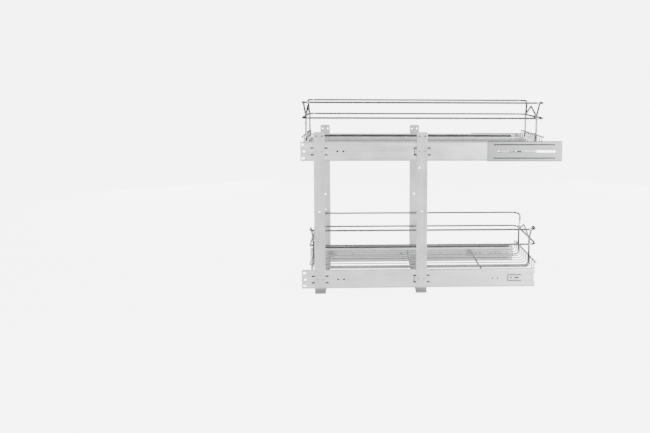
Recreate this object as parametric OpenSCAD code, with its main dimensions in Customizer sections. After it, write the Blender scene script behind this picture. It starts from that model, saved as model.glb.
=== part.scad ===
// Two-tier pull-out wire basket that stands on the floor of a base cabinet.
// +X is the front, the way the baskets pull out. The left side is -Y, and +Z is up.
// The origin is on the cabinet floor, under the middle of the whole.
// Lengths named _s are measured along X from the rear end of the slides.

/* [U frames] */
// Width over the outer faces of the uprights
overall_w = 298; // [260:1:420]
// Width of the steel strip that both U frames are bent from
strip_w = 25.4; // [22:0.1:32]
// Thickness of that strip
strip_t = 2; // [1.6:0.1:2.5]
// Outside radius of the strip's two bends at the floor
strip_bend_r = 10; // [6:0.5:13]
// Radius of the corners at the top of an upright
strip_corner_r = 3; // [1:0.5:5]
// Height of the uprights
upright_h = 389; // [350:1:440]
// Middle of the rear U frame
rear_frame_s = 43.5; // [35:0.5:60]
// Middle of the front U frame
front_frame_s = 285; // [240:1:330]
// Distance between the two holes of a pair in an upright
hole_pair_gap = 13.3; // [12:0.1:14]
// Diameter of the holes in the uprights
upright_hole_d = 4.5; // [4:0.1:5]
// Depth of the upper hole pair under the top of the upright
top_pair_drop = 10; // [7:0.5:12]
// Depth of the single hole under the middle of the upper slide
single_hole_drop = 38.8; // [32:0.1:50]
// Height of the hole half-way up an upright
middle_hole_z = 200; // [170:0.5:230]
// Diameter of that hole
middle_hole_d = 5; // [4:0.1:6]
// Height of the small pilot hole in the rear uprights
pilot_hole_z = 157.5; // [120:0.5:165]
// Diameter of the small pilot hole
pilot_hole_d = 3.2; // [2.5:0.1:4]
// Distance between the two screw holes in the floor strip
floor_hole_gap = 200; // [150:1:230]
// Diameter of the screw holes in the floor strip
floor_hole_d = 5; // [4:0.1:6]

/* [Slides] */
// Length of a slide when it is closed
slide_len = 560; // [540:1:600]
// Height of a slide
slide_h = 45.6; // [44:0.1:50]
// Thickness of a slide, from the upright to the basket
slide_t = 12.7; // [12.5:0.1:14]
// Sheet thickness of the cabinet and drawer members
sheet_t = 1.2; // [1:0.05:1.25]
// Sheet thickness of the middle member
middle_t = 1.1; // [0.9:0.05:1.15]
// Diameter of the balls
ball_d = 3.5; // [3.3:0.1:3.6]
// Distance from ball to ball in a row
ball_pitch = 34; // [25:1:60]
// How far a basket pulls out
travel = 540; // [440:1:545]
// Depth of the middle of the upper slides under the top of the uprights
upper_slide_drop = 45.7; // [40:0.1:60]
// Height of the middle of the lower slides
lower_slide_z = 37.3; // [34:0.1:50]
// How far the middle member stays behind each end of the cabinet member
middle_inset = 11; // [10:0.5:16]
// How far the drawer member stays behind the rear end
drawer_inset = 13; // [11:0.5:18]
// Diameter of the rivets that hold the slides to the uprights
rivet_d = 4.3; // [3.8:0.1:4.3]

/* [Slide cut-outs] */
// Middle of the rear hole of the cabinet member
rear_hole_s = 8.5; // [6:0.5:10]
// Diameter of the rear hole
rear_hole_d = 5.5; // [4:0.1:6]
// Length of the long slots behind each upright
frame_slot_len = 41; // [38:0.5:44]
// Width of the long slots
frame_slot_w = 3.6; // [3:0.1:4]
// Height of the long slots above and under the middle
frame_slot_v = 8; // [7:0.1:9]
// Middle of the first round hole in front of the rear upright
round_hole_s = 86; // [82:0.5:92]
// Distance between the two round holes
round_hole_gap = 14; // [10:0.5:20]
// Diameter of the round holes
round_hole_d = 4.8; // [4:0.1:6]
// Middle of the rear one of the two access holes through all members
access_hole_s = 456; // [430:0.5:470]
// Distance between the two access holes
access_hole_gap = 12.5; // [10:0.5:16]
// Diameter of the access holes
access_hole_d = 5; // [4:0.1:6]
// Rear edge of the cut that frees the spring tab
tab_s = 493; // [488:0.5:500]
// Length of the spring tab's cut
tab_len = 34; // [30:0.5:38]
// Height of the spring tab's cut
tab_h = 16; // [12:0.5:20]
// Width of the cuts that free the tabs
tab_cut_w = 2.2; // [1.5:0.1:2.5]
// Depth of the notch in the web's front end
front_notch_depth = 9; // [6:0.5:10]
// Height of that notch at its mouth
front_notch_h = 22; // [16:0.5:26]
// Distance of the rear windows from the end
window_s = 3; // [2:0.5:3.5]
// Height of the rear windows' middle above and under the slide's middle
window_v = 16; // [15:0.1:16.2]
// Middle of the rearmost hole in the drawer member's face
face_hole_s = 70.5; // [68:0.5:76]
// Distance from there to the next hole
face_hole_gap = 46; // [30:0.5:60]
// Middle of the short slot in the drawer member's face
face_slot_s = 249; // [200:0.5:300]
// Length of that slot
face_slot_len = 9; // [6:0.5:14]
// Middle of the single hole in front of the slot
face_single_s = 357; // [320:0.5:400]
// Middle of the foremost face hole, behind the slide's front end
face_front_inset = 16; // [10:0.5:20]
// Distance from there to the row of three holes behind it
face_row_gap = 21; // [14:0.5:30]
// Distance from hole to hole in that row
face_row_pitch = 12; // [8:0.5:16]
// Diameter of the holes in the drawer member's face
face_hole_d = 4.5; // [3.5:0.1:5]

/* [Front brackets] */
// Length of a front bracket
bracket_len = 178.5; // [150:0.5:200]
// How far it reaches in front of the slide
bracket_reach = 58.5; // [30:0.5:80]
// Sheet thickness of a front bracket
bracket_t = 1.2; // [1:0.1:1.5]
// How far its edges wrap over the slide
bracket_wrap = 4; // [3:0.1:5]
// Height of its long slot
bracket_slot_h = 5.4; // [4.6:0.1:6]
// Distance from its rear end to the slot
bracket_slot_rear = 22; // [18:0.5:30]
// Distance from its front end to the slot
bracket_slot_front = 15; // [12:0.5:20]
// Height of the pressed grooves above and under the slot
groove_v = 16; // [13:0.5:18]
// Width of a pressed groove
groove_w = 2.4; // [1.5:0.1:3]
// Depth of a pressed groove
groove_depth = 0.6; // [0.3:0.1:0.7]

/* [Baskets] */
// Diameter of the rim, guard rail, posts and cross wires
rail_d = 5; // [4:0.1:5.5]
// Diameter of the floor wires
floor_wire_d = 3; // [2.5:0.1:3.5]
// Diameter of the wire that ties the ends of the floor wires
lip_wire_d = 4; // [3:0.1:4]
// Number of floor wires
floor_wires = 11; // [7:2:15]
// Gap between the basket's outer wires and a slide
side_gap = 7.8; // [6:0.1:10]
// Height of the floor wires above the middle of the slide
floor_rise = 9; // [8:0.1:11]
// Height of the guard rail above the floor wires
guard_rise = 68; // [60:0.5:72]
// Height of the rim above the floor wires
rim_rise = 104.5; // [98:0.5:110]
// Height of the floor wires' upturned ends
lip_rise = 25; // [22:0.5:34]
// Radius of the bend at the foot of each upturned end
lip_bend_r = 9; // [6:0.5:12]
// Radius of the rim's and the guard rail's corners
rail_corner_r = 18; // [12:0.5:24]
// Rear end of the upper basket's rim, on the wire's middle
upper_rear_s = 3; // [2.8:0.1:8]
// Front end of the upper basket's rim
upper_front_s = 578; // [570:1:600]
// Rear end of the lower basket's rim
lower_rear_s = 18; // [10:0.5:24]
// Front end of the lower basket's rim
lower_front_s = 566.5; // [555:0.5:590]
// Distance of a post from the floor wire on its outer side
post_to_wire = 8; // [5:0.1:9]
// How far the rim's dip opens from the post to the corner
dip_spread = 9; // [8:0.5:14]
// Height of a dip's corner above the guard rail
dip_over_guard = 1.5; // [1:0.1:3]
// Radius of the bend where the rim turns down
dip_shoulder_r = 17; // [12:0.5:18]
// Radius of the bend at the bottom of a dip
dip_bend_r = 6; // [4:0.5:8]
// Depth of the rim's middle crest under the rim
crest_drop = 11; // [8:0.5:14]
// Radius of the bend at the crest
crest_bend_r = 14; // [10:0.5:20]
// Middle of the rear cross wire
rear_cross_s = 58; // [50:1:75]
// Middle of the middle cross wire
middle_cross_s = 266; // [255:1:310]
// Middle of the front cross wire
front_cross_s = 440; // [415:0.5:443]

/* [Basket clips] */
// Length of a clip
clip_len = 20; // [19:0.5:30]
// Sheet thickness of a clip
clip_t = 1.5; // [1.2:0.1:2]
// Height of a clip's leg
clip_leg = 12; // [11.5:0.1:12.5]
// Width of the shelf that a cross wire lies on
clip_shelf = 12; // [10:0.5:14]
// Distance between a clip's two screws
clip_screw_gap = 10; // [9:0.5:12]
// Diameter of the clip screws
clip_screw_d = 3.8; // [3:0.1:4]
// Diameter of a clip screw's head
clip_head_d = 7; // [6:0.1:7]
// Height of a clip screw's head
clip_head_h = 2; // [1.5:0.1:2.4]

/* [Hidden] */

LEFT = -1;
RIGHT = 1;
over = 1; // how far a cutter passes the face that it cuts

// Where things lie
rear_x = -(slide_len + bracket_reach) / 2;
upper_slide_z = upright_h - upper_slide_drop;
slide_face_y = overall_w / 2 - strip_t;
drawer_face_y = slide_face_y - slide_t;
basket_half_w = drawer_face_y - side_gap - rail_d / 2;

// The cross-section of a slide: u runs from the upright to the basket, v runs up
ball_clear = 0.1;
cage_t = 0.6;
cage_clear = 0.35;
race_r = ball_d / 2 + ball_clear;
web_bend_r = 2.8;
middle_web_u = sheet_t + 2 * cage_clear + cage_t;
middle_bend_r = 0.9;
drawer_bend_r = 0.8;
outer_ball = [middle_web_u + middle_t + middle_bend_r, slide_h / 2 - sheet_t - race_r];
s_bend_angle = 50;
s_straight = 0.6;
inner_ball = outer_ball + (2 * race_r + middle_t) * [cos(s_bend_angle), -sin(s_bend_angle)];
cabinet_lip_angle = -5;
middle_lip_angle = -10;
drawer_lip_angle = 215;
finger_reach = 1;
cage_bend_r = 1;

// A cage runs half as far as the member that it carries, and stays between both
cage_end_margin = 4;
cage_len = slide_len - travel / 2 - 2 * (middle_inset + cage_end_margin);
outer_cage_s = travel / 4 + middle_inset + cage_end_margin;
inner_cage_s = outer_cage_s;
ball_end_margin = 4;
balls_per_row = 1 + floor((cage_len - 2 * ball_end_margin) / ball_pitch);

// Wires that are welded to each other lie this far apart
weld_gap = 0.1;
bend_swell = 0.02;
bend_lap = 0.2;
cross_drop = floor_wire_d / 2 + weld_gap + rail_d / 2;
post_inset = rail_d + weld_gap;
lip_inset = post_inset - (rail_d - floor_wire_d) / 2;
lip_wire_inset = lip_inset - floor_wire_d / 2 - weld_gap - lip_wire_d / 2;
post_floor_rise = rail_d / 2 - floor_wire_d / 2;
wires_per_side = (floor_wires - 1) / 2;
wire_pitch = basket_half_w / wires_per_side;

// A post stands inside the floor wire that lies about this share of the way out
post_share = 0.6;
post_y = round(post_share * wires_per_side) * wire_pitch - post_to_wire;

// The dip that a post meets, seen along the basket from the dip's corner: its outer stroke, its
// inner stroke and the middle of the bend between them
dip_rise = guard_rise + dip_over_guard;
dip_outer = [dip_spread, rim_rise - dip_rise] / norm([dip_spread, rim_rise - dip_rise]);
dip_inner = [-post_y, rim_rise - crest_drop - dip_rise] / norm([-post_y, rim_rise - crest_drop - dip_rise]);
dip_half_angle = acos(dip_outer * dip_inner) / 2;
dip_bend = dip_bend_r / sin(dip_half_angle) * (dip_outer + dip_inner) / norm(dip_outer + dip_inner);
post_to_dip = dip_bend_r + rail_d / 2 + weld_gap;
post_beside_dip = max(0, -dip_bend.x - rail_d / 2);
post_rise = dip_rise + dip_bend.y - sqrt(pow(post_to_dip, 2) - pow(post_beside_dip, 2));
lip_wire_overhang = 5;
cross_end_gap = 3.3;

// The front brackets clip over the slide with this play
bracket_clear = 0.15;
clip_bend_r = 1;
clip_hole_play = 0.3;
clip_screw_drop = 6.8;
clip_screw_past = 1.3;
seat_gap = 0.1;

// The shelf of a clip lies just under the cross wires, and its screws lie in the middle of its leg
shelf_v = floor_rise - cross_drop - rail_d / 2 - seat_gap;
clip_screw_v = shelf_v - clip_screw_drop;

steel = "gainsboro";
dull_steel = "silver";
chrome = "whitesmoke";

// ---- helpers ----

function unit(v) = v / norm(v);
function across(v) = unit(cross(v, abs(v.z) < 0.9 * norm(v) ? [0, 0, 1] : [1, 0, 0]));
function wrap(i, n) = (i + n) % n;
function step(points, i) = unit(points[wrap(i + 1, len(points))] - points[wrap(i, len(points))]);
function turn(points, i) = acos(step(points, i - 1) * step(points, i));
function trim(points, bends, i) = bends[i] * tan(turn(points, i) / 2);

// Puts a child's X and Y along ex and ey, with its origin at o
module set_at(o, ex, ey) {
    ez = cross(ex, ey);
    multmatrix([
        [ex.x, ey.x, ez.x, o.x],
        [ex.y, ey.y, ez.y, o.y],
        [ex.z, ey.z, ez.z, o.z],
        [0, 0, 0, 1],
    ]) children();
}

module straight_wire(a, b, d) {
    ex = across(b - a);
    set_at(a, ex, cross(unit(b - a), ex)) cylinder(d = d, h = norm(b - a));
}

module wire_bend(p, before, after, r, d) {
    inward = unit(after - (after * before) * before);
    angle = acos(before * after);
    start = p - r * tan(angle / 2) * before;
    set_at(start + r * inward, -inward, before)
        rotate_extrude(angle = angle) translate([r, 0]) circle(d = d + bend_swell);
}

// A round wire through points, bent to bends[i] at points[i]. Each bend is drawn bend_swell
// thicker than the wire and laps the straights by bend_lap, so that all of it joins as one solid.
module bent_wire(points, bends, d, closed = false) {
    n = len(points);
    for (i = [0 : closed ? n - 1 : n - 2]) {
        j = wrap(i + 1, n);
        cut_i = closed || i > 0 ? trim(points, bends, i) - bend_lap : 0;
        cut_j = closed || j < n - 1 ? trim(points, bends, j) - bend_lap : 0;
        straight_wire(points[i] + cut_i * step(points, i), points[j] - cut_j * step(points, i), d);
    }
    for (i = closed ? [0 : n - 1] : [1 : n - 2])
        wire_bend(points[i], step(points, i - 1), step(points, i), bends[i], d);
}

// A curved stretch of sheet in a cross-section
module ring_sector(r, t, from, to) {
    far = 2 * (r + t);
    intersection() {
        difference() {
            circle(r = r + t);
            circle(r = r);
        }
        polygon([
            [0, 0],
            for (k = [0 : 3]) let (a = from + (to - from) * k / 3) far * [cos(a), sin(a)],
        ]);
    }
}

module both_halves() {
    children();
    mirror([0, 1]) children();
}

// Runs a cross-section along X from s0 to s1
module along(s0, s1) {
    translate([s0, 0, 0]) rotate([90, 0, 90]) linear_extrude(s1 - s0) children();
}

// Moves a child from slide coordinates to the slide on one side, at height z
module on_slide(side, z) {
    if (side == RIGHT) mirror([0, 1, 0]) translate([rear_x, -slide_face_y, z]) children();
    else translate([rear_x, -slide_face_y, z]) children();
}

module both_sides(z) {
    for (side = [LEFT, RIGHT]) on_slide(side, z) children();
}

// A cutter across a web, at s along the slide and v above its middle
module web_hole(s, v, d) {
    translate([s, -over, v]) rotate([-90, 0, 0]) cylinder(d = d, h = slide_t + 2 * over);
}

module web_slot(s0, s1, v, w) {
    web_hole(s0 + w / 2, v, w);
    web_hole(s1 - w / 2, v, w);
    translate([s0 + w / 2, -over, v - w / 2]) cube([s1 - s0 - w, slide_t + 2 * over, w]);
}

module access_holes() {
    for (i = [0, 1]) web_hole(access_hole_s + i * access_hole_gap, 0, access_hole_d);
}

// ---- U frames: one strip each, bent up at both ends ----

module u_frame(s, inner_hole) {
    x = rear_x + s;
    color(steel)
        difference() {
            translate([x - strip_w / 2, 0, 0]) rotate([90, 0, 90]) linear_extrude(strip_w) u_outline();
            for (side = [LEFT, RIGHT]) {
                y = side * overall_w / 2;
                for (end = [-1, 1]) {
                    upright_hole(x + end * hole_pair_gap / 2, y, upright_h - top_pair_drop, upright_hole_d);
                    for (z = [lower_slide_z, upper_slide_z])
                        upright_hole(x + end * hole_pair_gap / 2, y, z, upright_hole_d);
                    top_corner(x, y, end);
                }
                upright_hole(x + inner_hole * hole_pair_gap / 2, y, upper_slide_z - single_hole_drop,
                    upright_hole_d);
                upright_hole(x, y, middle_hole_z, middle_hole_d);
                translate([x, side * floor_hole_gap / 2, -over])
                    cylinder(d = floor_hole_d, h = strip_t + 2 * over);
            }
        }
}

module u_outline() {
    translate([-overall_w / 2 + strip_bend_r, 0]) square([overall_w - 2 * strip_bend_r, strip_t]);
    for (side = [0, 1])
        mirror([side, 0]) translate([-overall_w / 2, strip_bend_r]) {
            square([strip_t, upright_h - strip_bend_r]);
            translate([strip_bend_r, 0]) ring_sector(strip_bend_r - strip_t, strip_t, 180, 270);
        }
}

module upright_hole(x, y, z, d) {
    translate([x, y, z]) rotate([90, 0, 0]) cylinder(d = d, h = 2 * strip_t + 2 * over, center = true);
}

// What is cut off one corner of an upright's top
module top_corner(x, y, end) {
    translate([x + end * (strip_w / 2 - strip_corner_r), y, upright_h - strip_corner_r])
        difference() {
            translate([end > 0 ? 0 : -strip_corner_r - over, -strip_t - over, 0])
                cube([strip_corner_r + over, 2 * (strip_t + over), strip_corner_r + over]);
            rotate([90, 0, 0])
                cylinder(r = strip_corner_r, h = 2 * (strip_t + 2 * over), center = true);
        }
}

module rear_frame() {
    difference() {
        u_frame(rear_frame_s, 1);
        for (side = [LEFT, RIGHT])
            upright_hole(rear_x + rear_frame_s, side * overall_w / 2, pilot_hole_z, pilot_hole_d);
    }
}

module front_frame() {
    u_frame(front_frame_s, -1);
}

// Flush rivets that join the cabinet members to the uprights
module slide_rivets() {
    color(dull_steel)
        for (z = [lower_slide_z, upper_slide_z], s = [rear_frame_s, front_frame_s], end = [-1, 1])
            both_sides(z)
                translate([s + end * hole_pair_gap / 2, -strip_t, 0])
                    rotate([-90, 0, 0]) cylinder(d = rivet_d, h = strip_t + sheet_t);
}

// ---- Slides: three telescoping members with two rows of balls between each two ----

module cabinet_outline() {
    both_halves() {
        square([sheet_t, slide_h / 2 - sheet_t - web_bend_r]);
        translate([sheet_t + web_bend_r, slide_h / 2 - sheet_t - web_bend_r])
            ring_sector(web_bend_r, sheet_t, 90, 180);
        translate([sheet_t + web_bend_r, slide_h / 2 - sheet_t])
            square([outer_ball.x - sheet_t - web_bend_r, sheet_t]);
        translate(outer_ball) ring_sector(race_r, sheet_t, cabinet_lip_angle, 90);
    }
}

module middle_outline() {
    under_ball = outer_ball.y - race_r - middle_t;
    both_halves() {
        translate([middle_web_u, 0]) square([middle_t, under_ball - middle_bend_r]);
        translate([outer_ball.x, under_ball - middle_bend_r]) ring_sector(middle_bend_r, middle_t, 90, 180);
        translate(outer_ball) ring_sector(race_r, middle_t, 270, 360 - s_bend_angle);
        translate((outer_ball + inner_ball) / 2)
            rotate(-s_bend_angle) square([middle_t, s_straight], center = true);
        translate(inner_ball) ring_sector(race_r, middle_t, middle_lip_angle, 180 - s_bend_angle);
    }
}

module drawer_outline() {
    under_ball = inner_ball.y - race_r - sheet_t;
    bend_u = slide_t - sheet_t - drawer_bend_r;
    both_halves() {
        translate([slide_t - sheet_t, 0]) square([sheet_t, under_ball - drawer_bend_r]);
        translate([bend_u, under_ball - drawer_bend_r]) ring_sector(drawer_bend_r, sheet_t, 0, 90);
        translate([inner_ball.x, under_ball]) square([bend_u - inner_ball.x, sheet_t]);
        translate(inner_ball) ring_sector(race_r, sheet_t, drawer_lip_angle, 270);
    }
}

module cabinet_member(side, z) {
    color(steel)
        on_slide(side, z)
            difference() {
                along(0, slide_len) cabinet_outline();
                rear_windows();
                web_hole(rear_hole_s, 0, rear_hole_d);
                for (s = [rear_frame_s, front_frame_s], v = [-frame_slot_v, frame_slot_v])
                    web_slot(s - frame_slot_len / 2, s + frame_slot_len / 2, v, frame_slot_w);
                for (s = [rear_frame_s, front_frame_s], end = [-1, 1])
                    web_hole(s + end * hole_pair_gap / 2, 0, upright_hole_d);
                translate([front_frame_s - frame_slot_len / 2 + frame_slot_w / 2, -over, -frame_slot_v])
                    cube([tab_cut_w, sheet_t + 2 * over, 2 * frame_slot_v]);
                for (i = [0, 1]) web_hole(round_hole_s + i * round_hole_gap, 0, round_hole_d);
                access_holes();
                spring_tab();
                front_notch();
            }
}

// Square windows in the rear corners of the web
module rear_windows() {
    window_len = 7;
    window_h = 5;
    for (v = [-window_v, window_v])
        translate([window_s, -over, v - window_h / 2]) cube([window_len, sheet_t + 2 * over, window_h]);
}

// A cut on three sides, with a hole and a short slot in the tab that it frees
module spring_tab() {
    tab_hole_s = 9;
    tab_hole_d = 4;
    tab_slot_s = 17;
    tab_slot_len = 11;
    tab_slot_w = 3;
    for (v = [-tab_h / 2, tab_h / 2 - tab_cut_w])
        translate([tab_s, -over, v]) cube([tab_len, sheet_t + 2 * over, tab_cut_w]);
    translate([tab_s, -over, -tab_h / 2]) cube([tab_cut_w, sheet_t + 2 * over, tab_h]);
    web_hole(tab_s + tab_hole_s, 0, tab_hole_d);
    web_slot(tab_s + tab_slot_s, tab_s + tab_slot_s + tab_slot_len, 0, tab_slot_w);
}

module front_notch() {
    slope = 4;
    translate([0, -over, 0])
        rotate([-90, 0, 0])
            linear_extrude(sheet_t + 2 * over)
                polygon([
                    [slide_len + over, -front_notch_h / 2],
                    [slide_len + over, front_notch_h / 2],
                    [slide_len - front_notch_depth + slope, front_notch_h / 2],
                    [slide_len - front_notch_depth, front_notch_h / 2 - slope],
                    [slide_len - front_notch_depth, -front_notch_h / 2 + slope],
                    [slide_len - front_notch_depth + slope, -front_notch_h / 2],
                ]);
}

module middle_member(side, z) {
    color(dull_steel)
        on_slide(side, z)
            difference() {
                along(middle_inset, slide_len - middle_inset) middle_outline();
                access_holes();
            }
}

module drawer_member(side, z) {
    foremost = slide_len - face_front_inset;
    face_holes_s = [
        face_hole_s,
        face_hole_s + face_hole_gap,
        face_single_s,
        for (i = [2 : -1 : 0]) foremost - face_row_gap - i * face_row_pitch,
        foremost,
    ];
    color(steel)
        on_slide(side, z)
            difference() {
                along(drawer_inset, slide_len) drawer_outline();
                access_holes();
                for (s = face_holes_s) web_hole(s, 0, face_hole_d);
                web_slot(face_slot_s - face_slot_len / 2, face_slot_s + face_slot_len / 2, 0, face_hole_d);
                for (s = [rear_cross_s, front_cross_s], end = [-1, 1])
                    web_hole(s + end * clip_screw_gap / 2, clip_screw_v, clip_screw_d + clip_hole_play);
            }
}

// A folded strip with an open pocket for each ball. It runs over web_u, behind the balls at ball.
module ball_cage(side, z, ball, web_u, s0) {
    arm_v = ball.y + cage_t / 2;
    color(dull_steel)
        on_slide(side, z)
            difference() {
                along(s0, s0 + cage_len)
                    both_halves() {
                        translate([web_u, 0]) square([cage_t, arm_v - cage_bend_r]);
                        translate([web_u + cage_bend_r, arm_v - cage_bend_r])
                            ring_sector(cage_bend_r - cage_t, cage_t, 90, 180);
                        translate([web_u + cage_bend_r, arm_v - cage_t])
                            square([ball.x + finger_reach - web_u - cage_bend_r, cage_t]);
                    }
                for (i = [0 : balls_per_row - 1], v = [-ball.y, ball.y])
                    translate([ball_s(s0, i), ball.x, v])
                        cylinder(r = race_r, h = cage_t + 2 * over, center = true);
            }
}

function ball_s(s0, i) = s0 + cage_len / 2 + (i - (balls_per_row - 1) / 2) * ball_pitch;

module ball_rows(side, z, ball, s0) {
    color(chrome)
        on_slide(side, z)
            for (i = [0 : balls_per_row - 1], v = [-ball.y, ball.y])
                translate([ball_s(s0, i), ball.x, v]) sphere(d = ball_d);
}

module outer_cage(side, z) {
    ball_cage(side, z, outer_ball, sheet_t + cage_clear, outer_cage_s);
}

module inner_cage(side, z) {
    ball_cage(side, z, inner_ball, middle_web_u + middle_t + cage_clear, inner_cage_s);
}

module upper_left_cabinet_member() cabinet_member(LEFT, upper_slide_z);
module upper_right_cabinet_member() cabinet_member(RIGHT, upper_slide_z);
module lower_left_cabinet_member() cabinet_member(LEFT, lower_slide_z);
module lower_right_cabinet_member() cabinet_member(RIGHT, lower_slide_z);
module upper_left_middle_member() middle_member(LEFT, upper_slide_z);
module upper_right_middle_member() middle_member(RIGHT, upper_slide_z);
module lower_left_middle_member() middle_member(LEFT, lower_slide_z);
module lower_right_middle_member() middle_member(RIGHT, lower_slide_z);
module upper_left_drawer_member() drawer_member(LEFT, upper_slide_z);
module upper_right_drawer_member() drawer_member(RIGHT, upper_slide_z);
module lower_left_drawer_member() drawer_member(LEFT, lower_slide_z);
module lower_right_drawer_member() drawer_member(RIGHT, lower_slide_z);
module upper_left_outer_cage() outer_cage(LEFT, upper_slide_z);
module upper_right_outer_cage() outer_cage(RIGHT, upper_slide_z);
module lower_left_outer_cage() outer_cage(LEFT, lower_slide_z);
module lower_right_outer_cage() outer_cage(RIGHT, lower_slide_z);
module upper_left_inner_cage() inner_cage(LEFT, upper_slide_z);
module upper_right_inner_cage() inner_cage(RIGHT, upper_slide_z);
module lower_left_inner_cage() inner_cage(LEFT, lower_slide_z);
module lower_right_inner_cage() inner_cage(RIGHT, lower_slide_z);
module upper_left_outer_balls() ball_rows(LEFT, upper_slide_z, outer_ball, outer_cage_s);
module upper_right_outer_balls() ball_rows(RIGHT, upper_slide_z, outer_ball, outer_cage_s);
module lower_left_outer_balls() ball_rows(LEFT, lower_slide_z, outer_ball, outer_cage_s);
module lower_right_outer_balls() ball_rows(RIGHT, lower_slide_z, outer_ball, outer_cage_s);
module upper_left_inner_balls() ball_rows(LEFT, upper_slide_z, inner_ball, inner_cage_s);
module upper_right_inner_balls() ball_rows(RIGHT, upper_slide_z, inner_ball, inner_cage_s);
module lower_left_inner_balls() ball_rows(LEFT, lower_slide_z, inner_ball, inner_cage_s);
module lower_right_inner_balls() ball_rows(RIGHT, lower_slide_z, inner_ball, inner_cage_s);

// ---- Front brackets: slotted plates that clip over the upper slides and reach to the face frame ----

module front_bracket(side) {
    rear = slide_len + bracket_reach - bracket_len;
    front = slide_len + bracket_reach;
    half_h = slide_h / 2 + bracket_clear + bracket_t;
    color(dull_steel)
        on_slide(side, upper_slide_z)
            difference() {
                along(rear, front) bracket_outline(half_h);
                translate([0, -over - bracket_t, 0])
                    web_slot(rear + bracket_slot_rear, front - bracket_slot_front, 0, bracket_slot_h);
                for (v = [-groove_v, groove_v]) pressed_groove(rear, front, v);
            }
}

module bracket_outline(half_h) {
    corner_r = 1;
    both_halves() {
        translate([-bracket_clear - bracket_t, 0]) square([bracket_t, half_h - bracket_t - corner_r]);
        translate([-bracket_clear + corner_r, half_h - bracket_t - corner_r])
            ring_sector(corner_r, bracket_t, 90, 180);
        translate([-bracket_clear + corner_r, half_h - bracket_t])
            square([bracket_wrap - corner_r, bracket_t]);
    }
}

// A round-bottomed groove along the outer face
module pressed_groove(rear, front, v) {
    rear_end = 14;
    front_end = 17;
    groove_r = (pow(groove_w / 2, 2) + pow(groove_depth, 2)) / (2 * groove_depth);
    translate([rear + rear_end, -bracket_clear - bracket_t - groove_r + groove_depth, v])
        rotate([0, 90, 0]) cylinder(r = groove_r, h = front - rear - rear_end - front_end);
}

module left_front_bracket() front_bracket(LEFT);
module right_front_bracket() front_bracket(RIGHT);

// ---- Baskets: a rim with dipped ends and a guard rail on four posts, over a floor of wires ----

// The rim runs along both sides. At each end it dips to the guard rail at both posts.
module rim(rear_s, front_s, slide_z) {
    z = slide_z + floor_rise + rim_rise;
    low = slide_z + floor_rise + dip_rise;
    front = [
        [front_s, -basket_half_w, z],
        [front_s, -post_y - dip_spread, z],
        [front_s - post_inset, -post_y, low],
        [front_s - post_inset, 0, z - crest_drop],
        [front_s - post_inset, post_y, low],
        [front_s, post_y + dip_spread, z],
        [front_s, basket_half_w, z],
    ];
    rear = [for (p = front) [rear_s + front_s - p.x, -p.y, p.z]];
    end_bends = [rail_corner_r, dip_shoulder_r, dip_bend_r, crest_bend_r, dip_bend_r, dip_shoulder_r,
        rail_corner_r];
    color(chrome)
        translate([rear_x, 0, 0])
            bent_wire(concat(front, rear), concat(end_bends, end_bends), rail_d, true);
}

module guard_rail(rear_s, front_s, slide_z) {
    z = slide_z + floor_rise + guard_rise;
    corners = [
        [rear_s, -basket_half_w, z],
        [front_s, -basket_half_w, z],
        [front_s, basket_half_w, z],
        [rear_s, basket_half_w, z],
    ];
    bends = [for (c = corners) rail_corner_r];
    color(chrome) translate([rear_x, 0, 0]) bent_wire(corners, bends, rail_d, true);
}

// A wire along the basket at y, with both ends bent up
module tray_wire(rear_s, front_s, y, z, rise, d) {
    points = [
        [rear_s, y, z + rise],
        [rear_s, y, z],
        [front_s, y, z],
        [front_s, y, z + rise],
    ];
    translate([rear_x, 0, 0]) bent_wire(points, [for (p = points) lip_bend_r], d);
}

module floor_wire_set(rear_s, front_s, slide_z) {
    z = slide_z + floor_rise;
    color(chrome)
        for (i = [0 : floor_wires - 1])
            tray_wire(rear_s + lip_inset, front_s - lip_inset, -basket_half_w + i * wire_pitch, z, lip_rise,
                floor_wire_d);
}

// The posts are the ends of two stout wires that run under the load. Each passes the guard rail
// on its inner side and ends under a dip of the rim.
module post_wire_pair(rear_s, front_s, slide_z) {
    z = slide_z + floor_rise + post_floor_rise;
    rise = post_rise - post_floor_rise;
    color(chrome)
        for (side = [LEFT, RIGHT])
            tray_wire(rear_s + post_inset, front_s - post_inset, side * post_y, z, rise, rail_d);
}

module lip_wire_pair(rear_s, front_s, slide_z) {
    reach = basket_half_w + lip_wire_overhang;
    z = slide_z + floor_rise + lip_rise - lip_wire_d / 2;
    color(chrome)
        for (s = [rear_s + lip_wire_inset, front_s - lip_wire_inset])
            straight_wire([rear_x + s, -reach, z], [rear_x + s, reach, z], lip_wire_d);
}

module cross_wire_set(slide_z) {
    reach = drawer_face_y - cross_end_gap;
    z = slide_z + floor_rise - cross_drop;
    color(chrome)
        for (s = [rear_cross_s, middle_cross_s, front_cross_s])
            straight_wire([rear_x + s, -reach, z], [rear_x + s, reach, z], rail_d);
}

// ---- Clips: angles screwed to the drawer members, with a shelf under the cross wires' ends ----

module clip_set(slide_z) {
    color(dull_steel)
        both_sides(slide_z)
            for (s = [rear_cross_s, front_cross_s])
                difference() {
                    along(s - clip_len / 2, s + clip_len / 2)
                        translate([slide_t + seat_gap, shelf_v]) {
                            translate([0, -clip_leg]) square([clip_t, clip_leg - clip_t - clip_bend_r]);
                            translate([clip_t + clip_bend_r, -clip_t - clip_bend_r])
                                ring_sector(clip_bend_r, clip_t, 90, 180);
                            translate([clip_t + clip_bend_r, -clip_t])
                                square([clip_shelf - clip_t - clip_bend_r, clip_t]);
                        }
                    for (end = [-1, 1])
                        translate([0, slide_t, 0])
                            web_hole(s + end * clip_screw_gap / 2, clip_screw_v,
                                clip_screw_d + clip_hole_play);
                }
}

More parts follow.
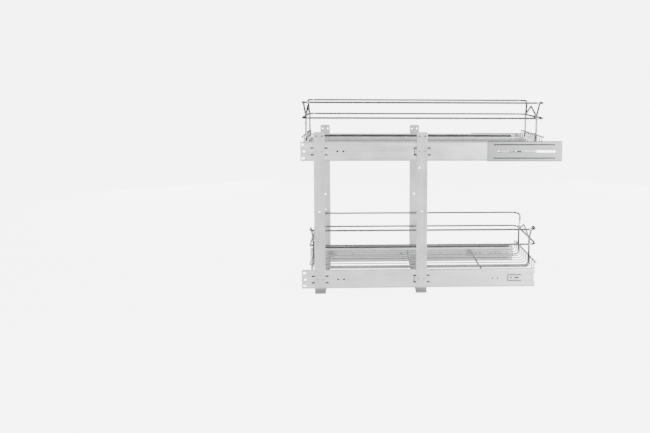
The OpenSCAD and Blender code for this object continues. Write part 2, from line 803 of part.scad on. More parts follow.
module clip_screw_set(slide_z) {
    head_u = slide_t + clip_t + 2 * seat_gap;
    tip_u = slide_t - sheet_t - clip_screw_past;
    color(dull_steel)
        both_sides(slide_z)
            for (s = [rear_cross_s, front_cross_s], end = [-1, 1])
                translate([s + end * clip_screw_gap / 2, tip_u, clip_screw_v])
                    rotate([-90, 0, 0]) {
                        cylinder(d = clip_screw_d, h = head_u - tip_u);
                        translate([0, 0, head_u - tip_u]) cylinder(d = clip_head_d, h = clip_head_h);
                    }
}

module upper_basket_rim() rim(upper_rear_s, upper_front_s, upper_slide_z);
module upper_basket_guard_rail() guard_rail(upper_rear_s, upper_front_s, upper_slide_z);
module upper_basket_floor_wires() floor_wire_set(upper_rear_s, upper_front_s, upper_slide_z);
module upper_basket_lip_wires() lip_wire_pair(upper_rear_s, upper_front_s, upper_slide_z);
module upper_basket_post_wires() post_wire_pair(upper_rear_s, upper_front_s, upper_slide_z);
module upper_basket_cross_wires() cross_wire_set(upper_slide_z);
module upper_basket_clips() clip_set(upper_slide_z);
module upper_basket_clip_screws() clip_screw_set(upper_slide_z);
module lower_basket_rim() rim(lower_rear_s, lower_front_s, lower_slide_z);
module lower_basket_guard_rail() guard_rail(lower_rear_s, lower_front_s, lower_slide_z);
module lower_basket_floor_wires() floor_wire_set(lower_rear_s, lower_front_s, lower_slide_z);
module lower_basket_lip_wires() lip_wire_pair(lower_rear_s, lower_front_s, lower_slide_z);
module lower_basket_post_wires() post_wire_pair(lower_rear_s, lower_front_s, lower_slide_z);
module lower_basket_cross_wires() cross_wire_set(lower_slide_z);
module lower_basket_clips() clip_set(lower_slide_z);
module lower_basket_clip_screws() clip_screw_set(lower_slide_z);

rear_frame();
front_frame();
slide_rivets();
upper_left_cabinet_member();
upper_right_cabinet_member();
lower_left_cabinet_member();
lower_right_cabinet_member();
upper_left_middle_member();
upper_right_middle_member();
lower_left_middle_member();
lower_right_middle_member();
upper_left_drawer_member();
upper_right_drawer_member();
lower_left_drawer_member();
lower_right_drawer_member();
upper_left_outer_cage();
upper_right_outer_cage();
lower_left_outer_cage();
lower_right_outer_cage();
upper_left_inner_cage();
upper_right_inner_cage();
lower_left_inner_cage();
lower_right_inner_cage();
upper_left_outer_balls();
upper_right_outer_balls();
lower_left_outer_balls();
lower_right_outer_balls();
upper_left_inner_balls();
upper_right_inner_balls();
lower_left_inner_balls();
lower_right_inner_balls();
left_front_bracket();
right_front_bracket();
upper_basket_rim();
upper_basket_guard_rail();
upper_basket_floor_wires();
upper_basket_lip_wires();
upper_basket_post_wires();
upper_basket_cross_wires();
upper_basket_clips();
upper_basket_clip_screws();
lower_basket_rim();
lower_basket_guard_rail();
lower_basket_floor_wires();
lower_basket_lip_wires();
lower_basket_post_wires();
lower_basket_cross_wires();
lower_basket_clips();
lower_basket_clip_screws();
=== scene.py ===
import math

import bmesh
import bpy
from mathutils import Matrix, Vector


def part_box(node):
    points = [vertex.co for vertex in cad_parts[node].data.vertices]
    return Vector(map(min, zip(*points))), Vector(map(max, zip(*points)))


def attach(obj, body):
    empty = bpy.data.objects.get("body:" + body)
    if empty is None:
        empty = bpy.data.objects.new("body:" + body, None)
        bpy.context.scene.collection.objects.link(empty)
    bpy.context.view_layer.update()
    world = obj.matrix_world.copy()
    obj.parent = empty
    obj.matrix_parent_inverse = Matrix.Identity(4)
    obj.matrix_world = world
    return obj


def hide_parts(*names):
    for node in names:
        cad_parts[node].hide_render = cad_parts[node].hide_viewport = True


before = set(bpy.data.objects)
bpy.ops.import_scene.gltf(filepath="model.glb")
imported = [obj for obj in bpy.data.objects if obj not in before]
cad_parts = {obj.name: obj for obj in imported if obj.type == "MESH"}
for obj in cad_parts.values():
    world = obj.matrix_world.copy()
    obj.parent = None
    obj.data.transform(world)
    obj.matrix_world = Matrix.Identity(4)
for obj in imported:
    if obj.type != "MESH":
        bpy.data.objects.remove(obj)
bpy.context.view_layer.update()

# ---- U frames ----
# Two strips of 2 mm steel, each bent up at both ends, that stand on the cabinet floor. They are
# zinc-plated and satin, with faint rolling streaks, cloudy patches and a fine speckle.

# All sizes are in metres. These two say how near a wall of its own has to be to paint shade into a corner,
# and another piece to paint shade onto a piece that others cover.
CORNER_REACH = 0.007
COVER_REACH = 0.014


def metal_material(name, colour, roughness, stretch, speckle=0.03, streak=0.05, cloud=0.04,
                   edge_r=0.0004, bump=0.15, corner_shade=0.6, shaded_by_others=False, shade_boxes=()):
    """Plated steel: rolling streaks, soft clouds, a fine speckle, a painted highlight on the edges and
    painted shade in corners.

    One flag gives painted shade wherever another piece covers this one; without it painted shade falls only
    in the piece's own corners.
    Each shade box, (middle, half sizes, level, soft edge), is painted shade that dims the colour to its
    level.
    """
    material = bpy.data.materials.new(name)
    material.use_nodes = True
    tree = material.node_tree
    shader = tree.nodes["Principled BSDF"]
    shader.inputs["Metallic"].default_value = 1.0
    place = tree.nodes.new("ShaderNodeTexCoord").outputs["Object"]

    def noise(scale, detail, stretched=None):
        node = tree.nodes.new("ShaderNodeTexNoise")
        node.inputs["Scale"].default_value = scale
        node.inputs["Detail"].default_value = detail
        source = place
        if stretched:
            mapping = tree.nodes.new("ShaderNodeMapping")
            mapping.inputs["Scale"].default_value = stretched
            tree.links.new(place, mapping.inputs["Vector"])
            source = mapping.outputs["Vector"]
        tree.links.new(source, node.inputs["Vector"])
        return node.outputs["Fac"]

    def spread(source, low, high, from_low=0.3, from_high=0.7):
        node = tree.nodes.new("ShaderNodeMapRange")
        node.inputs["From Min"].default_value = from_low
        node.inputs["From Max"].default_value = from_high
        node.inputs["To Min"].default_value = low
        node.inputs["To Max"].default_value = high
        tree.links.new(source, node.inputs["Value"])
        return node.outputs["Result"]

    def combined(operation, a, b):
        node = tree.nodes.new("ShaderNodeMath")
        node.operation = operation
        tree.links.new(a, node.inputs[0])
        tree.links.new(b, node.inputs[1])
        return node.outputs["Value"]

    def painted_box_shade(middle, halves, level, soft):
        away = place
        for operation, operand in (("SUBTRACT", middle), ("ABSOLUTE", None), ("SUBTRACT", halves)):
            step = tree.nodes.new("ShaderNodeVectorMath")
            step.operation = operation
            tree.links.new(away, step.inputs[0])
            if operand:
                step.inputs[1].default_value = operand
            away = step.outputs["Vector"]
        parts = tree.nodes.new("ShaderNodeSeparateXYZ")
        tree.links.new(away, parts.inputs["Vector"])
        outside = combined("MAXIMUM", parts.outputs["X"], parts.outputs["Y"])
        outside = combined("MAXIMUM", outside, parts.outputs["Z"])
        return spread(outside, level, 1.0, from_low=-soft, from_high=soft)

    streaks = noise(scale=1.0, detail=3.0, stretched=stretch)
    grain = noise(scale=900.0, detail=4.0)
    clouds = noise(scale=28.0, detail=2.0)
    # The bevelled normal also lifts the colour along the edges: a painted highlight.
    rounded = tree.nodes.new("ShaderNodeBevel")
    rounded.samples = 4
    rounded.inputs["Radius"].default_value = edge_r
    flat = tree.nodes.new("ShaderNodeNewGeometry")
    on_flat = tree.nodes.new("ShaderNodeVectorMath")
    on_flat.operation = "DOT_PRODUCT"
    tree.links.new(rounded.outputs["Normal"], on_flat.inputs[0])
    tree.links.new(flat.outputs["Normal"], on_flat.inputs[1])
    # Painted shade: the colour is darkened in corners, and for some pieces wherever another piece covers
    # them.
    covered = tree.nodes.new("ShaderNodeAmbientOcclusion")
    covered.samples = 4
    covered.only_local = not shaded_by_others
    covered.inputs["Distance"].default_value = COVER_REACH if shaded_by_others else CORNER_REACH
    darkest_at = 0.4 if shaded_by_others else 0.3
    shades = [
        spread(streaks, 1 - streak, 1 + streak),
        spread(grain, 1 - speckle, 1 + speckle),
        spread(clouds, 1 - cloud, 1 + cloud),
        spread(on_flat.outputs["Value"], 1.12, 1.0, from_low=0.7, from_high=1.0),
        spread(covered.outputs["AO"], 1 - corner_shade, 1.0, from_low=darkest_at, from_high=0.95),
    ]
    shades += [painted_box_shade(*shade_box) for shade_box in shade_boxes]
    shade = shades[0]
    for other in shades[1:]:
        shade = combined("MULTIPLY", shade, other)
    tint = tree.nodes.new("ShaderNodeVectorMath")
    tint.operation = "SCALE"
    tint.inputs[0].default_value = colour
    tree.links.new(shade, tint.inputs["Scale"])
    tree.links.new(tint.outputs["Vector"], shader.inputs["Base Color"])
    dull = combined("ADD", spread(streaks, roughness - 0.04, roughness + 0.05), spread(clouds, -0.03, 0.04))
    tree.links.new(dull, shader.inputs["Roughness"])
    relief = tree.nodes.new("ShaderNodeBump")
    relief.inputs["Strength"].default_value = bump
    relief.inputs["Distance"].default_value = 0.0001
    tree.links.new(grain, relief.inputs["Height"])
    tree.links.new(rounded.outputs["Normal"], relief.inputs["Normal"])
    tree.links.new(relief.outputs["Normal"], shader.inputs["Normal"])
    return material


def paint(names, material):
    """Gives named CAD nodes a material."""
    for name in names:
        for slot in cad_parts[name].material_slots:
            slot.material = material


# A half size that reaches past the whole object
PAST_ALL = 1
STREAKS_UP = (300, 300, 12)
# The strips' outer faces are painted darker near the floor, up to this height: a painted shadow at their
# feet.
FOOT_SHADE_TOP = 0.0165
FOOT_SHADE_HALF_T = 0.003
FOOT_SHADE_LEVEL = 0.36
FOOT_SHADE_SOFT = 0.0025

frame_low, frame_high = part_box("rear_frame")
foot_shade_halves = (PAST_ALL, FOOT_SHADE_HALF_T, FOOT_SHADE_TOP)
strip_zinc = metal_material(
    "strip_zinc", (0.72, 0.725, 0.73), 0.46, STREAKS_UP, corner_shade=0.7,
    shade_boxes=[((0, y, 0), foot_shade_halves, FOOT_SHADE_LEVEL, FOOT_SHADE_SOFT)
            for y in (frame_low[1], frame_high[1])])
paint(["rear_frame", "front_frame"], strip_zinc)

# ---- Slides ----
# Full-extension ball slides: formed cabinet, middle and drawer members with ball rows between them.
# They are rolled from bright zinc-plated strip, so fine lines run along them. The middle members and
# cages are painted dark as the shade inside a closed slide.

SIDES = ("left", "right")
TIERS = ("upper", "lower")
STREAKS_ALONG = (6, 400, 400)
STREAKS_NOWHERE = (300, 300, 300)
BRIGHT_ZINC = (0.86, 0.865, 0.87)
BRIGHT_ZINC_ROUGHNESS = 0.44
BRIGHT_ZINC_CORNER_SHADE = 0.8
INSIDE_ROUGHNESS = 0.36
INSIDE_SHADE = 0.9


def slide_nodes(*kinds):
    """The names of all four slides' nodes of these kinds."""
    return [f"{tier}_{side}_{kind}" for tier in TIERS for side in SIDES for kind in kinds]


slide_zinc = metal_material(
    "slide_zinc", BRIGHT_ZINC, BRIGHT_ZINC_ROUGHNESS, STREAKS_ALONG, corner_shade=BRIGHT_ZINC_CORNER_SHADE)
# Painted shade: the middle members and cages get a near-black zinc, darkest where others cover them.
inner_shade_zinc = metal_material(
    "inner_shade_zinc", (0.13, 0.13, 0.127), INSIDE_ROUGHNESS, STREAKS_ALONG, corner_shade=INSIDE_SHADE, shaded_by_others=True)
cage_shade_zinc = metal_material(
    "cage_shade_zinc", (0.14, 0.14, 0.137), INSIDE_ROUGHNESS, STREAKS_ALONG, corner_shade=INSIDE_SHADE, shaded_by_others=True)
ball_steel = metal_material(
    "ball_steel", (0.78, 0.78, 0.79), 0.12, STREAKS_NOWHERE, speckle=0.02, streak=0.02, cloud=0.0)
paint(slide_nodes("cabinet_member", "drawer_member"), slide_zinc)
paint(slide_nodes("middle_member"), inner_shade_zinc)
paint(slide_nodes("outer_cage", "inner_cage"), cage_shade_zinc)
paint(slide_nodes("outer_balls", "inner_balls"), ball_steel)

# ---- Slide rivets ----
# Semi-tubular steel rivets, 4.3 mm thick, that hold the slides to the uprights. Each is driven flush,
# and its open end shows as a dark bore with a chamfered mouth.

RIVET_R = 0.00215
RIVET_BORE_R = 0.0011
RIVET_BORE_DEPTH = 0.0016
RIVET_BORE_TAPER = 0.00002
RIVET_CHAMFER = 0.0003
RIVET_LENGTH = 0.0032
RIVET_PAIR_GAP = 0.0133
ROUND_SIDES = 24
HALF_TURN = Matrix.Rotation(math.pi, 4, "Z")

# The least share of its normal that a cylinder's or cube's end face has along Y
END_FACE = 0.9


def add_cylinder(name, radius, length):
    """A cylinder that starts at the origin and runs along +Y."""
    bpy.ops.object.select_all(action="DESELECT")
    bpy.ops.mesh.primitive_cylinder_add(
        vertices=ROUND_SIDES, radius=radius, depth=length, rotation=(math.pi / 2, 0, 0),
        location=(0, length / 2, 0))
    piece = bpy.context.object
    piece.name = name
    bpy.ops.object.transform_apply(location=True, rotation=True, scale=True)
    return piece


def pick_faces(piece, wanted):
    """Opens a piece for editing, with only those faces selected whose normal is wanted."""
    bpy.context.view_layer.objects.active = piece
    bpy.ops.object.mode_set(mode="EDIT")
    bpy.ops.mesh.select_mode(type="FACE")
    mesh = bmesh.from_edit_mesh(piece.data)
    for face in mesh.faces:
        face.select_set(wanted(face.normal))
    bmesh.update_edit_mesh(piece.data)


def copies_at(source, name, places):
    """Copies a piece to each place, a matrix, and joins the copies into one object."""
    copies = []
    for place in places:
        copy = source.copy()
        copy.data = source.data.copy()
        copy.data.transform(place)
        bpy.context.collection.objects.link(copy)
        copies.append(copy)
    bpy.data.objects.remove(source)
    bpy.ops.object.select_all(action="DESELECT")
    for copy in copies:
        copy.select_set(True)
    bpy.context.view_layer.objects.active = copies[0]
    bpy.ops.object.join()
    copies[0].name = name
    return copies[0]


def finish_piece(piece, body, material, angle=35):
    """Smooths a piece, gives it its material and says what it rides on."""
    bpy.ops.object.select_all(action="DESELECT")
    piece.select_set(True)
    bpy.context.view_layer.objects.active = piece
    bpy.ops.object.shade_smooth_by_angle(angle=math.radians(angle))
    piece.data.materials.clear()
    piece.data.materials.append(material)
    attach(piece, body)


def middle_of(name):
    """The middle of a CAD node's box."""
    low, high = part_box(name)
    return (Vector(low) + Vector(high)) / 2


rivet_steel = metal_material("rivet_steel", (0.66, 0.665, 0.67), 0.38, STREAKS_NOWHERE)
rivet = add_cylinder("rivet", RIVET_R, RIVET_LENGTH)
pick_faces(rivet, lambda normal: normal.y < -END_FACE)
bpy.ops.mesh.inset(thickness=RIVET_R - RIVET_BORE_R - RIVET_CHAMFER, depth=0)
bpy.ops.mesh.inset(thickness=RIVET_CHAMFER, depth=-RIVET_CHAMFER)
bpy.ops.mesh.inset(thickness=RIVET_BORE_TAPER, depth=-RIVET_BORE_DEPTH)
bpy.ops.object.mode_set(mode="OBJECT")
rivet_low, rivet_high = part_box("slide_rivets")
rivet_places = []
for tier in TIERS:
    rivet_z = middle_of(f"{tier}_left_cabinet_member").z
    for strip in ("rear_frame", "front_frame"):
        for step in (-0.5, 0.5):
            rivet_x = middle_of(strip).x + step * RIVET_PAIR_GAP
            rivet_places.append(Matrix.Translation((rivet_x, rivet_low[1], rivet_z)))
            rivet_places.append(Matrix.Translation((rivet_x, rivet_high[1], rivet_z)) @ HALF_TURN)
rivets = copies_at(rivet, "tubular_rivets", rivet_places)
finish_piece(rivets, "frame", rivet_steel)
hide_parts("slide_rivets")

# ---- Front brackets ----
# Slotted plates that clip over the upper slides. Their plating is a duller, darker zinc, with painted shade
# in the two long grooves and at the folded edges. The strip of slide seen through the slot is painted
# darker as shade.

GROOVE_V = 0.016
GROOVE_HALF_W = 0.0016
GROOVE_REAR_END = 0.014
GROOVE_FRONT_END = 0.017
FOLD_HALF_T = 0.0011
FOLD_SOFT = 0.0006
LINE_LEVEL = 0.3
LINE_SOFT = 0.0004
SLOT_REAR_END = 0.022
SLOT_SHADE_HALF_W = 0.0034
SLOT_SHADE_LEVEL = 0.6
SLOT_SHADOW_HALF_W = 0.0014

bracket_low, bracket_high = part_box("left_front_bracket")
bracket_z = middle_of("left_front_bracket").z
groove_x = (bracket_low[0] + GROOVE_REAR_END + bracket_high[0] - GROOVE_FRONT_END) / 2
groove_half = (bracket_high[0] - GROOVE_FRONT_END) - groove_x
# Painted shade: dark lines along the two grooves and the folded edges.
groove_shades = [((groove_x, 0, bracket_z + v), (groove_half, PAST_ALL, GROOVE_HALF_W), LINE_LEVEL, LINE_SOFT)
           for v in (-GROOVE_V, GROOVE_V)]
fold_shades = [
    ((groove_x, 0, bracket_high[2]), (PAST_ALL, PAST_ALL, FOLD_HALF_T), 0.5, FOLD_SOFT),
    ((bracket_high[0], 0, bracket_z), (FOLD_HALF_T, PAST_ALL, PAST_ALL), 0.55, FOLD_SOFT),
]
bracket_zinc = metal_material(
    "bracket_zinc", (0.34, 0.345, 0.35), 0.46, (8, 300, 300), corner_shade=0.8, shade_boxes=groove_shades + fold_shades)
paint([f"{side}_front_bracket" for side in SIDES], bracket_zinc)

# Painted shade on the upper cabinet members: the band seen through the bracket's slot is painted darker,
# with a darker painted shadow along the slot's lower edge.
slot_shade_half = PAST_ALL / 2
slot_shade_x = bracket_low[0] + SLOT_REAR_END + slot_shade_half
slot_shadow_z = bracket_z - SLOT_SHADE_HALF_W
slot_shades = [
    ((slot_shade_x, 0, bracket_z), (slot_shade_half, PAST_ALL, SLOT_SHADE_HALF_W), SLOT_SHADE_LEVEL, LINE_SOFT),
    ((slot_shade_x, 0, slot_shadow_z), (slot_shade_half, PAST_ALL, SLOT_SHADOW_HALF_W), LINE_LEVEL, LINE_SOFT),
]
slot_shaded_zinc = metal_material(
    "slot_shaded_zinc", BRIGHT_ZINC, BRIGHT_ZINC_ROUGHNESS, STREAKS_ALONG,
    corner_shade=BRIGHT_ZINC_CORNER_SHADE, shade_boxes=slot_shades)
paint([f"upper_{side}_cabinet_member" for side in SIDES], slot_shaded_zinc)

# ---- Baskets ----
# Steel wires, bent, welded and then chromium-plated. One chrome is given lighter and darker greys as
# painted
# reflection and shade: the 3 mm wires lightest, the 5 mm rails and upright posts darker and the cross wires
# under the floor darkest. The clips are zinc-plated.

THIN_WIRE_GREY = (0.68, 0.685, 0.69)
POST_BEND = 0.012
POST_SHADE_PAST = 0.001
POST_SHADE_LEVEL = 0.28
POST_SHADE_SOFT = 0.004


def basket_nodes(*kinds):
    """The names of both baskets' nodes of these kinds."""
    return [f"{tier}_basket_{kind}" for tier in TIERS for kind in kinds]


def wire_chrome(name, grey, roughness=0.09, shade_boxes=()):
    """Chromium plating on a round wire."""
    return metal_material(
        name, grey, roughness, (150, 150, 150), speckle=0.015, streak=0.03, cloud=0.0,
        edge_r=0.0009, bump=0.05, corner_shade=0.3, shade_boxes=shade_boxes)


# The upright runs of the posts, above their bend, are dimmed: painted shade on the chrome.
post_shades = []
for posts in basket_nodes("post_wires"):
    post_low, post_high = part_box(posts)
    post_foot = post_low[2] + POST_BEND
    post_middle = (0, 0, (post_foot + post_high[2]) / 2)
    post_halves = (PAST_ALL, PAST_ALL, (post_high[2] - post_foot) / 2 + POST_SHADE_PAST)
    post_shades.append((post_middle, post_halves, POST_SHADE_LEVEL, POST_SHADE_SOFT))
# Four greys of one chrome: the darker ones are painted shade and reflection.
thin_chrome = wire_chrome("thin_chrome", THIN_WIRE_GREY)
rail_chrome = wire_chrome("rail_chrome", (0.42, 0.425, 0.43))
post_chrome = wire_chrome("post_chrome", THIN_WIRE_GREY, shade_boxes=post_shades)
cross_chrome = wire_chrome("cross_chrome", (0.18, 0.182, 0.185), roughness=0.12)
paint(basket_nodes("floor_wires", "lip_wires"), thin_chrome)
paint(basket_nodes("rim", "guard_rail"), rail_chrome)
paint(basket_nodes("post_wires"), post_chrome)
paint(basket_nodes("cross_wires"), cross_chrome)
paint(basket_nodes("clips"), bracket_zinc)

# ---- Basket welds ----
# Where two wires cross they are spot-welded, which squeezes a small uneven nugget out round the joint.
# The nuggets are plated with the wires.

RAIL_R = 0.0025
FLOOR_WIRE_R = 0.0015
FLOOR_WIRES = 11
CROSS_WIRE_STEP = 0.208
NUGGET_R = 0.001
NUGGET_WAVER = 0.00012

# Half sizes of the nuggets, by what is welded to what
FLOOR_TO_CROSS = (0.0019, 0.0019, 0.0006)
POST_TO_CROSS = (0.0022, 0.0022, 0.0007)
LIP_TO_FLOOR = (0.0006, 0.0017, 0.0017)
GUARD_TO_POST = (0.0007, 0.0023, 0.0023)
RIM_TO_POST = (0.0021, 0.0021, 0.0012)


def weld_places(tier):
    """A matrix for each weld of a basket that moves and stretches a nugget there."""
    wires_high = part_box(f"{tier}_basket_floor_wires")[1]
    posts_low, posts_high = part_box(f"{tier}_basket_post_wires")
    lips_low, lips_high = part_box(f"{tier}_basket_lip_wires")
    cross_low, cross_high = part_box(f"{tier}_basket_cross_wires")
    guard_z = middle_of(f"{tier}_basket_guard_rail").z
    lip_z = middle_of(f"{tier}_basket_lip_wires").z
    reach = wires_high[1] - FLOOR_WIRE_R
    rows = [-reach + 2 * reach * i / (FLOOR_WIRES - 1) for i in range(FLOOR_WIRES)]
    post_y = posts_high[1] - RAIL_R
    rear_cross = cross_low[0] + RAIL_R
    welds = []
    for x in (rear_cross, rear_cross + CROSS_WIRE_STEP, cross_high[0] - RAIL_R):
        welds += [((x, y, cross_high[2]), FLOOR_TO_CROSS) for y in rows]
        welds += [((x, side * post_y, cross_high[2]), POST_TO_CROSS) for side in (-1, 1)]
    for end, lip_x, post_x in ((-1, lips_low[0], posts_low[0]), (1, lips_high[0], posts_high[0])):
        welds += [((lip_x, y, lip_z), LIP_TO_FLOOR) for y in rows]
        welds += [((post_x, side * post_y, guard_z), GUARD_TO_POST) for side in (-1, 1)]
        post_axis = post_x - end * RAIL_R
        welds += [((post_axis, side * post_y, posts_high[2]), RIM_TO_POST) for side in (-1, 1)]
    return [Matrix.Translation(middle) @ Matrix.Diagonal((*(half / NUGGET_R for half in halves), 1))
            for middle, halves in welds]


for tier in TIERS:
    bpy.ops.object.select_all(action="DESELECT")
    bpy.ops.mesh.primitive_ico_sphere_add(subdivisions=2, radius=NUGGET_R)
    nugget = bpy.context.object
    bpy.ops.object.mode_set(mode="EDIT")
    bpy.ops.mesh.select_all(action="SELECT")
    bpy.ops.transform.vertex_random(offset=NUGGET_WAVER, seed=7)
    bpy.ops.object.mode_set(mode="OBJECT")
    welds = copies_at(nugget, f"{tier}_basket_welds", weld_places(tier))
    finish_piece(welds, f"{tier}_basket", thin_chrome, angle=60)

# ---- Clip screws ----
# Pan-head steel screws, zinc-plated, that hold the clips to the drawer members, two in each clip.
# Each has a cross recess whose four wings narrow towards the bottom.

SCREW_R = 0.0019
SCREW_LENGTH = 0.0042
SCREW_GAP = 0.01
SCREW_HEAD_R = 0.0035
SCREW_HEAD_H = 0.002
UNDER_HEAD = 0.00002
RECESS_SIZE = (0.0034, 0.0026, 0.0007)
RECESS_NARROWING = 0.5

# The share of the head's height that its side takes, and then for each step over its domed top how far
# it goes in and its share of the height
HEAD_SIDE = 0.44
HEAD_STEPS = ((0.0005, 0.3), (0.0009, 0.17), (0.0012, 0.08))


def cut_away(piece, cutter):
    """Cuts one object out of another."""
    bpy.ops.object.select_all(action="DESELECT")
    bpy.context.view_layer.objects.active = piece
    piece.select_set(True)
    cut = piece.modifiers.new("cut", "BOOLEAN")
    cut.operation = "DIFFERENCE"
    cut.solver = "EXACT"
    cut.object = cutter
    bpy.ops.object.modifier_apply(modifier=cut.name)
    bpy.data.objects.remove(cutter)


def add_screw():
    """A screw along Y whose tip lies at the origin and whose head faces +Y."""
    screw = add_cylinder("screw", SCREW_R, SCREW_LENGTH)
    pick_faces(screw, lambda normal: normal.y > END_FACE)
    bpy.ops.mesh.extrude_region_move(TRANSFORM_OT_translate={"value": (0, UNDER_HEAD, 0)})
    bpy.ops.transform.resize(value=(SCREW_HEAD_R / SCREW_R, 1, SCREW_HEAD_R / SCREW_R))
    bpy.ops.mesh.extrude_region_move(TRANSFORM_OT_translate={"value": (0, SCREW_HEAD_H * HEAD_SIDE, 0)})
    for inwards, rise in HEAD_STEPS:
        bpy.ops.mesh.inset(thickness=inwards, depth=SCREW_HEAD_H * rise)
    bpy.ops.object.mode_set(mode="OBJECT")
    for turn in (0, math.pi / 2):
        bpy.ops.object.select_all(action="DESELECT")
        bpy.ops.mesh.primitive_cube_add(
            size=1, scale=RECESS_SIZE, rotation=(0, turn, 0), location=(0, SCREW_LENGTH + SCREW_HEAD_H, 0))
        wing = bpy.context.object
        bpy.ops.object.transform_apply(location=True, rotation=True, scale=True)
        pick_faces(wing, lambda normal: normal.y < -END_FACE)
        bpy.ops.transform.resize(value=(RECESS_NARROWING, 1, RECESS_NARROWING))
        bpy.ops.object.mode_set(mode="OBJECT")
        cut_away(screw, wing)
    return screw


for tier in TIERS:
    screws_low, screws_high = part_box(f"{tier}_basket_clip_screws")
    screw_z = (screws_low[2] + screws_high[2]) / 2
    tip_y = screws_high[1]
    rear_x = screws_low[0] + SCREW_HEAD_R
    front_x = screws_high[0] - SCREW_HEAD_R
    screw_places = []
    for screw_x in (rear_x, rear_x + SCREW_GAP, front_x - SCREW_GAP, front_x):
        screw_places.append(Matrix.Translation((screw_x, -tip_y, screw_z)))
        screw_places.append(Matrix.Translation((screw_x, tip_y, screw_z)) @ HALF_TURN)
    screws = copies_at(add_screw(), f"{tier}_clip_screws", screw_places)
    finish_piece(screws, f"{tier}_basket", rivet_steel)
    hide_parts(f"{tier}_basket_clip_screws")

# ---- Floor, light and camera ----
# A plain pale floor under soft studio light, seen from the side and a little from above. The camera
# sees white all round, while the metal sees a dim room with softboxes in it and a glow from the floor
# close by.

WHITE = (1, 1, 1, 1)
BACKDROP_LEVEL = 6.5
ROOM_LEVEL = 0.12
FLOOR_RADIUS = 60
FLOOR_GREY = (0.2, 0.2, 0.2, 1)
FLOOR_ROUGHNESS = 0.9
GLOW_LEVEL = 1.0
GLOW_FULL_WITHIN = 0.3
GLOW_GONE_BEYOND = 1.1

bpy.ops.object.select_all(action="DESELECT")
bpy.ops.mesh.primitive_circle_add(vertices=64, radius=FLOOR_RADIUS, fill_type="NGON", location=(0, 0, 0))
floor = bpy.context.object
floor.name = "floor"
floor_paint = bpy.data.materials.new("floor_paint")
floor_paint.use_nodes = True
floor_tree = floor_paint.node_tree
floor_shader = floor_tree.nodes["Principled BSDF"]
floor_shader.inputs["Base Color"].default_value = FLOOR_GREY
floor_shader.inputs["Roughness"].default_value = FLOOR_ROUGHNESS
floor_shader.inputs["Emission Color"].default_value = WHITE
floor_place = floor_tree.nodes.new("ShaderNodeTexCoord")
floor_reach = floor_tree.nodes.new("ShaderNodeVectorMath")
floor_reach.operation = "LENGTH"
floor_tree.links.new(floor_place.outputs["Object"], floor_reach.inputs[0])
near_glow = floor_tree.nodes.new("ShaderNodeMapRange")
near_glow.interpolation_type = "SMOOTHSTEP"
near_glow.inputs["From Min"].default_value = GLOW_FULL_WITHIN
near_glow.inputs["From Max"].default_value = GLOW_GONE_BEYOND
near_glow.inputs["To Min"].default_value = GLOW_LEVEL
near_glow.inputs["To Max"].default_value = 0
floor_tree.links.new(floor_reach.outputs["Value"], near_glow.inputs["Value"])
floor_path = floor_tree.nodes.new("ShaderNodeLightPath")
glow = floor_tree.nodes.new("ShaderNodeMix")
glow.inputs["B"].default_value = BACKDROP_LEVEL
floor_tree.links.new(floor_path.outputs["Is Camera Ray"], glow.inputs["Factor"])
floor_tree.links.new(near_glow.outputs["Result"], glow.inputs["A"])
floor_tree.links.new(glow.outputs["Result"], floor_shader.inputs["Emission Strength"])
floor.data.materials.append(floor_paint)

world = bpy.data.worlds.new("studio")
bpy.context.scene.world = world
world.use_nodes = True
sky = world.node_tree
backdrop = sky.nodes["Background"]
backdrop.inputs["Strength"].default_value = BACKDROP_LEVEL
backdrop.inputs["Color"].default_value = WHITE
room = sky.nodes.new("ShaderNodeBackground")
room.inputs["Strength"].default_value = ROOM_LEVEL
room.inputs["Color"].default_value = WHITE
sky_path = sky.nodes.new("ShaderNodeLightPath")
either = sky.nodes.new("ShaderNodeMixShader")
sky.links.new(sky_path.outputs["Is Camera Ray"], either.inputs["Fac"])
sky.links.new(room.outputs["Background"], either.inputs[1])
sky.links.new(backdrop.outputs["Background"], either.inputs[2])
sky.links.new(either.outputs["Shader"], sky.nodes["World Output"].inputs["Surface"])

TOP_BOX_SIZE = (3.2, 2.4)
TOP_BOX_HEIGHT = 2.6
TOP_BOX_LEVEL = 2.0
SIDE_BOX_SIZE = (0.8, 1.0)
SIDE_BOX_HEIGHT = 0.5
SIDE_BOX_AIM_HEIGHT = 0.2

# x, y and level of each softbox at the side
SIDE_BOXES = ((-1.1, -1.75, 10), (1.2, -1.65, 25), (-1.0, 1.75, 7), (1.2, 1.65, 7))


def softbox(name, place, aim, size, level):
    """An area light at a place, turned to a point, that looks as bright as level."""
    light = bpy.data.lights.new(name, "AREA")
    light.shape = "RECTANGLE"
    light.size, light.size_y = size
    light.energy = level * math.pi * size[0] * size[1]
    lamp = bpy.data.objects.new(name, light)
    bpy.context.collection.objects.link(lamp)
    lamp.location = place
    lamp.rotation_euler = (Vector(aim) - Vector(place)).to_track_quat("-Z", "Y").to_euler()
    lamp.visible_camera = False


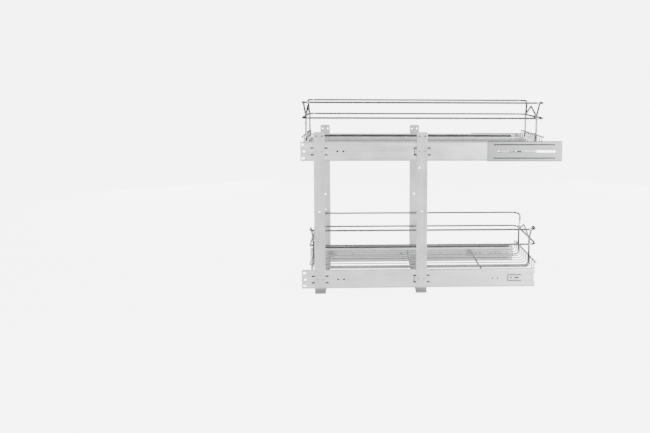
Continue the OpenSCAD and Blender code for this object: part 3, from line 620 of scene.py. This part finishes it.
softbox("top_light", (0, 0, TOP_BOX_HEIGHT), (0, 0, 0), TOP_BOX_SIZE, TOP_BOX_LEVEL)
for side_x, side_y, side_level in SIDE_BOXES:
    side_place = (side_x, side_y, SIDE_BOX_HEIGHT)
    softbox("side_light", side_place, (0, 0, SIDE_BOX_AIM_HEIGHT), SIDE_BOX_SIZE, side_level)

CAMERA_PLACE = Vector((-0.15935, -1.97508, 0.50987))
CAMERA_YAW = math.radians(3.5212)
CAMERA_PITCH = math.radians(6.8845)
CAMERA_ROLL = math.radians(0.2997)
CAMERA_FOCUS_PX = 782.13
CAMERA_MIDDLE_PX = (412.52, 174.48)
IMAGE_SIZE_PX = (650, 433)
SENSOR_WIDTH = 36.0
NEAREST_SEEN = 0.05

ahead = Vector((
    math.sin(CAMERA_YAW) * math.cos(CAMERA_PITCH),
    math.cos(CAMERA_YAW) * math.cos(CAMERA_PITCH),
    -math.sin(CAMERA_PITCH),
))
level_right = Vector((math.cos(CAMERA_YAW), -math.sin(CAMERA_YAW), 0))
upward = level_right.cross(ahead)
right = level_right * math.cos(CAMERA_ROLL) + upward * math.sin(CAMERA_ROLL)
top = upward * math.cos(CAMERA_ROLL) - level_right * math.sin(CAMERA_ROLL)
camera_data = bpy.data.cameras.new("camera")
camera_data.sensor_width = SENSOR_WIDTH
camera_data.lens = CAMERA_FOCUS_PX / IMAGE_SIZE_PX[0] * SENSOR_WIDTH
camera_data.shift_x = (IMAGE_SIZE_PX[0] / 2 - CAMERA_MIDDLE_PX[0]) / IMAGE_SIZE_PX[0]
camera_data.shift_y = (CAMERA_MIDDLE_PX[1] - IMAGE_SIZE_PX[1] / 2) / IMAGE_SIZE_PX[0]
camera_data.clip_start = NEAREST_SEEN
camera_data.clip_end = 2 * FLOOR_RADIUS
camera = bpy.data.objects.new("camera", camera_data)
bpy.context.collection.objects.link(camera)
turn = Matrix((right, top, -ahead)).transposed().to_4x4()
camera.matrix_world = Matrix.Translation(CAMERA_PLACE) @ turn
bpy.context.scene.camera = camera
